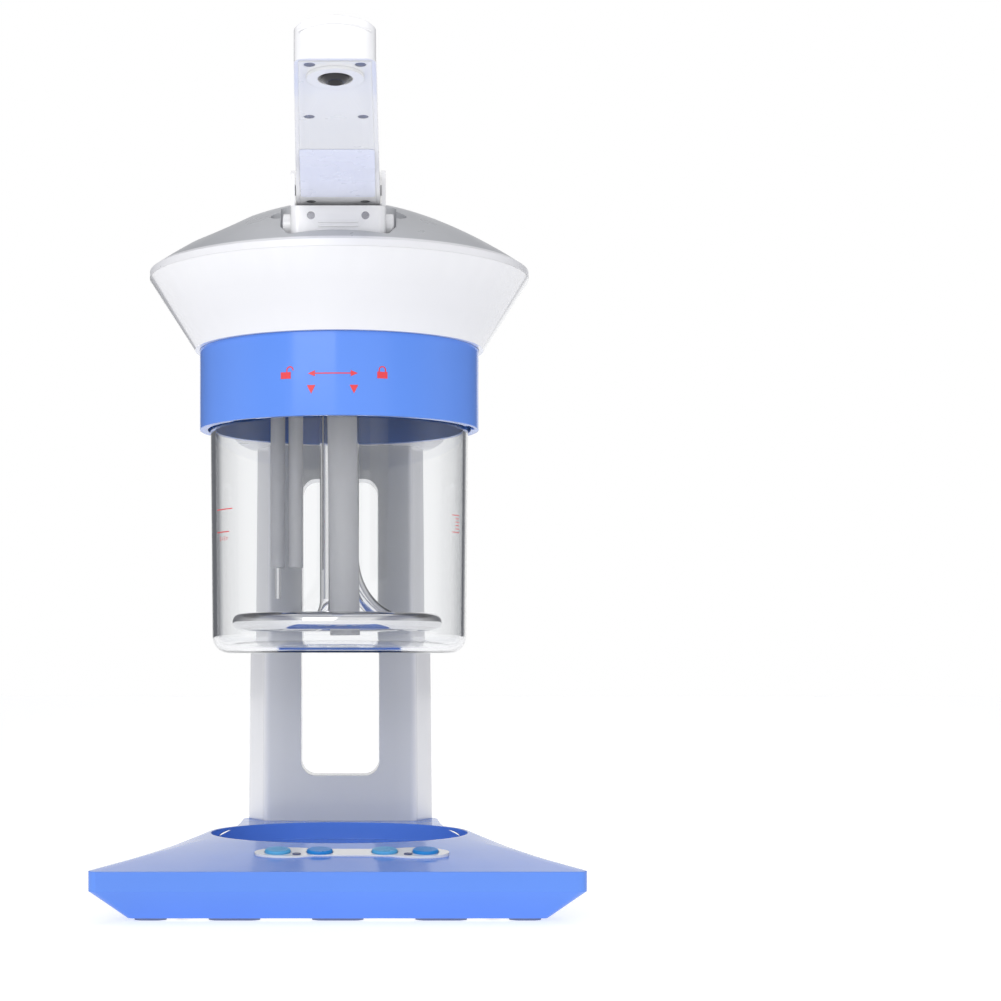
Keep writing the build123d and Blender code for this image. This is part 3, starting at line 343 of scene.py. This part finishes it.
def lathe(shape, profile, steps, centre):
    """Turn a profile of (radius, height), which starts and ends on the upright axis."""
    rings = []
    for radius, height in profile:
        if radius < 1e-6:
            rings.append([shape.verts.new(centre + Vector((0, 0, height)))])
            continue
        ring = []
        for step in range(steps):
            turn = 2 * pi * step / steps
            point = Vector((radius * cos(turn), radius * sin(turn), height))
            ring.append(shape.verts.new(centre + point))
        rings.append(ring)
    for low, high in zip(rings, rings[1:]):
        if len(low) == len(high):
            join_loops(shape, low, high)
            continue
        for step in range(steps):
            after = (step + 1) % steps
            if len(low) == 1:
                shape.faces.new((low[0], high[after], high[step]))
            else:
                shape.faces.new((low[step], low[after], high[0]))


def slab(shape, outline, place, thick=PRINT_THICK):
    """A thin closed slab over a flat outline, laid on a surface by place(x, y, height)."""
    bottom = [shape.verts.new(place(x, y, 0.0)) for x, y in outline]
    top = [shape.verts.new(place(x, y, thick)) for x, y in outline]
    shape.faces.new(top)
    shape.faces.new(list(reversed(bottom)))
    join_loops(shape, bottom, top)


def strip(x0, x1, y0, y1, cells):
    """Small rectangles side by side, so that a long mark follows a round surface."""
    width = (x1 - x0) / cells
    return [
        [(x0 + width * i, y0), (x0 + width * (i + 1), y0), (x0 + width * (i + 1), y1), (x0 + width * i, y1)]
        for i in range(cells)
    ]


def around(radius, proud=0.00002):
    """Lay marks on an upright cylinder about the beaker's axis; x is the sideways distance."""
    def place(x, z, height):
        reach = radius + proud + height
        turn = x / radius
        return AXIS + Vector((reach * sin(turn), -reach * cos(turn), z))
    return place


# ---------------------------------------------------------------- beaker
def straight(start, end):
    """Points just inside both ends of a straight wall, so that its shading stays straight."""
    points = []
    for share in (0.0, 0.006, 0.012, 0.5, 0.988, 0.994, 1.0):
        points.append(tuple(a + (b - a) * share for a, b in zip(start, end)))
    return points


def beaker_profile():
    """Outer wall, rolled rim, inner wall and a floor with a rounded heel."""
    low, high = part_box("beaker")
    outer = 66.5 * MM
    foot = 65.2 * MM
    wall = 2.4 * MM
    heel = 9.0 * MM
    inner_heel = heel - wall
    base = low.z
    top = high.z
    profile = [
        (0.0, base + 1.6 * MM),
        (foot * 0.45, base + 1.2 * MM),
        (foot - heel - 4 * MM, base + 0.1 * MM),
    ]
    for step in range(12):
        turn = pi / 2 * step / 12
        profile.append((foot - heel + heel * sin(turn), base + heel - heel * cos(turn)))
    profile += straight((foot, base + heel), (outer, top - wall / 2))
    for step in range(1, 8):
        turn = pi * step / 8
        profile.append((outer - wall / 2 + wall / 2 * cos(turn), top - wall / 2 + wall / 2 * sin(turn)))
    profile += straight((outer - wall, top - wall / 2), (foot - wall, base + heel))
    for step in range(1, 12):
        turn = pi / 2 * (1 - step / 12)
        profile.append((foot - heel + inner_heel * sin(turn), base + heel - inner_heel * cos(turn)))
    return profile + [
        (foot - heel - 1 * MM, base + wall),
        (foot * 0.45, base + wall + 0.4 * MM),
        (0.0, base + wall + 0.8 * MM),
    ]


def make_beaker():
    """The glass beaker with its three locking lugs."""
    shape = bmesh.new()
    lathe(shape, beaker_profile(), 192, AXIS)
    piece = mesh_piece("beaker_glass", shape, MATERIALS["clear_glass"], "beaker")
    smooth(piece, 60)
    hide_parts("beaker")
    lugs = bmesh.new()
    inner, outer = 66.3 * MM, 68.9 * MM
    for start in LUG_STARTS:
        rows = []
        for step in range(7):
            turn = radians(start + LUG_ARC * step / 6)
            ring = [(inner, 0.2662), (outer - 0.6 * MM, 0.2660), (outer, 0.2652), (outer, 0.2628),
                    (outer - 0.6 * MM, 0.2620), (inner, 0.2620)]
            rows.append([lugs.verts.new(AXIS + Vector((r * cos(turn), r * sin(turn), z))) for r, z in ring])
        join_rows(lugs, rows)
    smooth(mesh_piece("beaker_lugs", lugs, MATERIALS["clear_glass"], "beaker"))


def make_graduations():
    """Level lines and short scale ticks printed on the glass."""
    shape = bmesh.new()
    place = around(PRINT_RADIUS)
    left = -radians(68) * PRINT_RADIUS
    right = radians(66) * PRINT_RADIUS
    for height, length in ((0.1955, 17.0), (0.1842, 14.0)):
        for cell in strip(left, left + length * MM, height, height + 0.5 * MM, 8):
            slab(shape, cell, place)
    for row in range(5):
        for tick in range(4):
            x = left + (4 + 2.4 * tick) * MM
            z = 0.1802 + 0.4 * MM * row
            if (row + tick) % 2 == 0:
                far, top = x + 1.3 * MM, z + 0.3 * MM
                slab(shape, [(x, z), (far, z), (far, top), (x, top)], place)
    for row in range(6):
        z = 0.1842 + 1.7 * MM * row
        length = (8.0 if row in (0, 5) else 4.5) * MM
        for cell in strip(right - length, right, z, z + 0.35 * MM, 4):
            slab(shape, cell, place)
    mesh_piece("beaker_graduations", shape, PRINT_RED, "beaker")


# ---------------------------------------------------------------- collar legend
def make_legend():
    """Turn arrows, index triangles and open and closed padlocks printed on the collar."""
    shape = bmesh.new()
    place = around(COLLAR_RADIUS)
    middle = 0.2584
    for x0, x1 in ((-11.5, -1.0), (-1.0, 6.5)):
        for cell in strip(x0 * MM, x1 * MM, middle - 0.28 * MM, middle + 0.28 * MM, 6):
            slab(shape, cell, place)
    for tip, back in ((-14.8, -11.3), (9.4, 5.9)):
        outline = [(tip * MM, middle), (back * MM, middle - 1.5 * MM), (back * MM, middle + 1.5 * MM)]
        slab(shape, outline if tip > back else list(reversed(outline)), place)
    for x in (-13.2, 7.5):
        z = 0.2507
        outline = [((x - 2.1) * MM, z + 2.1 * MM), (x * MM, z - 2.1 * MM), ((x + 2.1) * MM, z + 2.1 * MM)]
        slab(shape, outline, place)
    for x, swing in ((-26.0, 2.2), (21.5, 0.0)):
        body = [(x - 2.6, -2.2), (x + 2.6, -2.2), (x + 2.6, 1.0), (x - 2.6, 1.0)]
        slab(shape, [(a * MM, middle + b * MM) for a, b in body], place)
        for step in range(10):
            turn, after = pi * step / 10, pi * (step + 1) / 10
            ring = []
            for radius, angle in ((1.3, turn), (1.9, turn), (1.9, after), (1.3, after)):
                across = (x + swing + radius * cos(angle)) * MM
                ring.append((across, middle + (1.9 + radius * sin(angle)) * MM))
            slab(shape, ring, place)
        for side in (-1, 1):
            foot = 1.0 if swing == 0.0 or side < 0 else 1.7
            a0, a1 = sorted((x + swing + side * 1.3, x + swing + side * 1.9))
            slab(shape, [(a0 * MM, middle + foot * MM), (a1 * MM, middle + foot * MM),
                         (a1 * MM, middle + 1.9 * MM), (a0 * MM, middle + 1.9 * MM)], place)
    mesh_piece("collar_legend", shape, PRINT_RED, "root")


# ---------------------------------------------------------------- arm details
def under_arm(x, along, height):
    """A point under the arm: sideways, out from the hinge, and below its flat underside."""
    return HINGE + Vector((x, 0, 0)) + ARM_AHEAD * along - ARM_UP * (UNDERSIDE + height)


def make_arm_label():
    """The blank label on the arm's underside, with softly rounded corners."""
    shape = bmesh.new()
    outline = []
    for cx, cy, start in ((15.5, 20, -90), (14.6, 84, 0), (-14.6, 84, 90), (-15.5, 20, 180)):
        for step in range(6):
            turn = radians(start + 18 * step)
            outline.append(((cx + 2 * cos(turn)) * MM, (cy + 2 * sin(turn)) * MM))
    slab(shape, outline, lambda x, y, height: under_arm(x, y, height + PRINT_THICK), 0.00015)
    mesh_piece("arm_label", shape, LAVENDER, "arm")


def make_tip_line():
    """The raised arch line that follows the top edge of the arm's end."""
    shape = bmesh.new()
    rows = []
    for step in range(25):
        x = (-14.2 + 28.4 * step / 24) * MM
        rise = (4.1 * (1 - (x / (16 * MM)) ** 2) + 1.4) * MM
        row = []
        for out, up in ((-0.1, -0.35), (0.25, -0.25), (0.25, 0.25), (-0.1, 0.35)):
            spot = HINGE + Vector((x, 0, 0)) + ARM_AHEAD * (ARM_REACH + out * MM)
            row.append(shape.verts.new(spot + ARM_UP * (rise + up * MM)))
        rows.append(row)
    join_rows(shape, rows)
    mesh_piece("arm_tip_line", shape, MATERIALS["white_gloss"], "arm")


def make_nozzle():
    """The nozzle: a squat rounded eye with a dished mouth, and the pipe stub behind it."""
    shape = bmesh.new()
    profile = [(1.7, -13.5), (3.4, -13.5), (3.4, -2.0), (5.6, -2.0), (5.6, 0.2), (5.1, 1.6), (4.2, 2.5),
               (3.3, 2.8), (2.9, 2.4), (2.3, 1.4), (1.7, 0.6)]
    steps = 64
    rings = []
    for radius, drop in profile:
        ring = []
        for step in range(steps):
            turn = 2 * pi * step / steps
            ring.append(shape.verts.new(under_arm(
                radius * MM * cos(turn), (NOZZLE_OUT + radius * sin(turn)) * MM, drop * MM)))
        rings.append(ring)
    for first, second in zip(rings, rings[1:] + rings[:1]):
        join_loops(shape, first, second)
    piece = mesh_piece("nozzle_eye", shape, MATERIALS["black_plastic"], "arm")
    smooth(piece, 40)
    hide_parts("nozzle")


# ---------------------------------------------------------------- stage, light and camera
def stage_plane(name, corners, colour):
    """A plain sheet of the studio, which isn't part of the object."""
    shape = bmesh.new()
    shape.faces.new([shape.verts.new(Vector(c)) for c in corners])
    mesh = bpy.data.meshes.new(name)
    shape.to_mesh(mesh)
    shape.free()
    sheet = bpy.data.objects.new(name, mesh)
    bpy.context.scene.collection.objects.link(sheet)
    material, tree, shader = new_material(name)
    tone = ramp(tree, noise(tree, 3.0), ((0.3, shade(colour, 0.99)), (0.7, colour)))
    tree.links.new(tone, shader.inputs["Base Color"])
    shader.inputs["Roughness"].default_value = 0.6
    shader.inputs["Emission Color"].default_value = (1, 1, 1, 1)
    shader.inputs["Emission Strength"].default_value = 0.62
    mesh.materials.append(material)


def area_light(name, place, target, size, power):
    """A soft rectangular light that points at a place."""
    data = bpy.data.lights.new(name, "AREA")
    data.shape = "RECTANGLE"
    data.size, data.size_y = size
    data.energy = power
    light = bpy.data.objects.new(name, data)
    light.location = place
    light.rotation_euler = (Vector(target) - Vector(place)).to_track_quat("-Z", "Y").to_euler()
    bpy.context.scene.collection.objects.link(light)


def multiply(tree, first, second):
    """Two colours multiplied."""
    mix = add_node(tree, "ShaderNodeMix", data_type="RGBA", blend_type="MULTIPLY")
    mix.inputs["Factor"].default_value = 1.0
    tree.links.new(first, mix.inputs["A"])
    tree.links.new(second, mix.inputs["B"])
    return mix.outputs["Result"]


def half_range(tree, source):
    """A direction from -1 to 1 brought into 0 to 1."""
    node = add_node(tree, "ShaderNodeMapRange")
    node.inputs["From Min"].default_value = -1.0
    tree.links.new(source, node.inputs["Value"])
    return node.outputs["Result"]


def make_world():
    """A bright studio in front, and a white backdrop between dark flags behind, which outline the glass."""
    world = bpy.data.worlds.new("studio")
    world.use_nodes = True
    tree = world.node_tree
    background = tree.nodes["Background"]
    background.inputs["Strength"].default_value = 1.0
    place = add_node(tree, "ShaderNodeTexCoord")
    split = add_node(tree, "ShaderNodeSeparateXYZ")
    tree.links.new(place.outputs["Generated"], split.inputs["Vector"])
    side = add_node(tree, "ShaderNodeMath", operation="ABSOLUTE")
    tree.links.new(split.outputs["X"], side.inputs[0])
    soft = (0.42, 0.43, 0.49)
    front = ramp(tree, side.outputs[0], ((0.0, 1.0), (0.58, 1.0), (0.72, soft), (0.88, soft), (1.0, 0.8)))
    stops = ((0.55, 1.0), (0.7, (0.56, 0.57, 0.61)), (0.9, (0.72, 0.72, 0.75)))
    ceiling = ramp(tree, split.outputs["Z"], stops)
    flag = (0.15, 0.155, 0.17)
    across = half_range(tree, split.outputs["X"])
    backdrop = ramp(tree, across, ((0.0, 0.5), (0.2, flag), (0.37, flag), (0.405, 1.0),
                                   (0.66, 1.0), (0.70, flag), (0.82, flag), (1.0, 0.5)))
    above = ramp(tree, split.outputs["Z"], ((0.33, 1.0), (0.45, 0.25), (0.7, 0.5), (1.0, 0.9)))
    behind = ramp(tree, half_range(tree, split.outputs["Y"]), ((0.55, 0.0), (0.68, 1.0)))
    mix = add_node(tree, "ShaderNodeMix", data_type="RGBA")
    tree.links.new(behind, mix.inputs["Factor"])
    tree.links.new(multiply(tree, front, ceiling), mix.inputs["A"])
    tree.links.new(multiply(tree, backdrop, above), mix.inputs["B"])
    tree.links.new(mix.outputs["Result"], background.inputs["Color"])
    bpy.context.scene.world = world


def make_studio():
    """The white floor, the bright surroundings and two soft lights, with plain colour management."""
    stage_plane("floor", ((-6, -6, 0), (6, -6, 0), (6, 6, 0), (-6, 6, 0)), (0.62, 0.62, 0.62))
    make_world()
    area_light("key", (-0.7, -1.9, 1.0), (0, 0, 0.2), (1.4, 1.0), 12)
    area_light("top", (0.1, 0.1, 1.6), (0, 0, 0.2), (1.4, 1.4), 3)
    bpy.context.scene.view_settings.view_transform = "Standard"


def make_camera():
    """A level view from the front, with the object at the left of the picture."""
    data = bpy.data.cameras.new("camera")
    data.sensor_width = 36.0
    data.lens = 75.5
    data.shift_x = 0.1470
    data.shift_y = 0.1594
    camera = bpy.data.objects.new("camera", data)
    camera.location = (0.0072, AXIS.y - 1.080, 0.1205)
    camera.rotation_euler = (pi / 2, 0, 0)
    bpy.context.scene.collection.objects.link(camera)
    bpy.context.scene.camera = camera


make_camera()
make_studio()
make_beaker()
make_graduations()
make_legend()
make_arm_label()
make_tip_line()
make_nozzle()
bpy.context.view_layer.update()
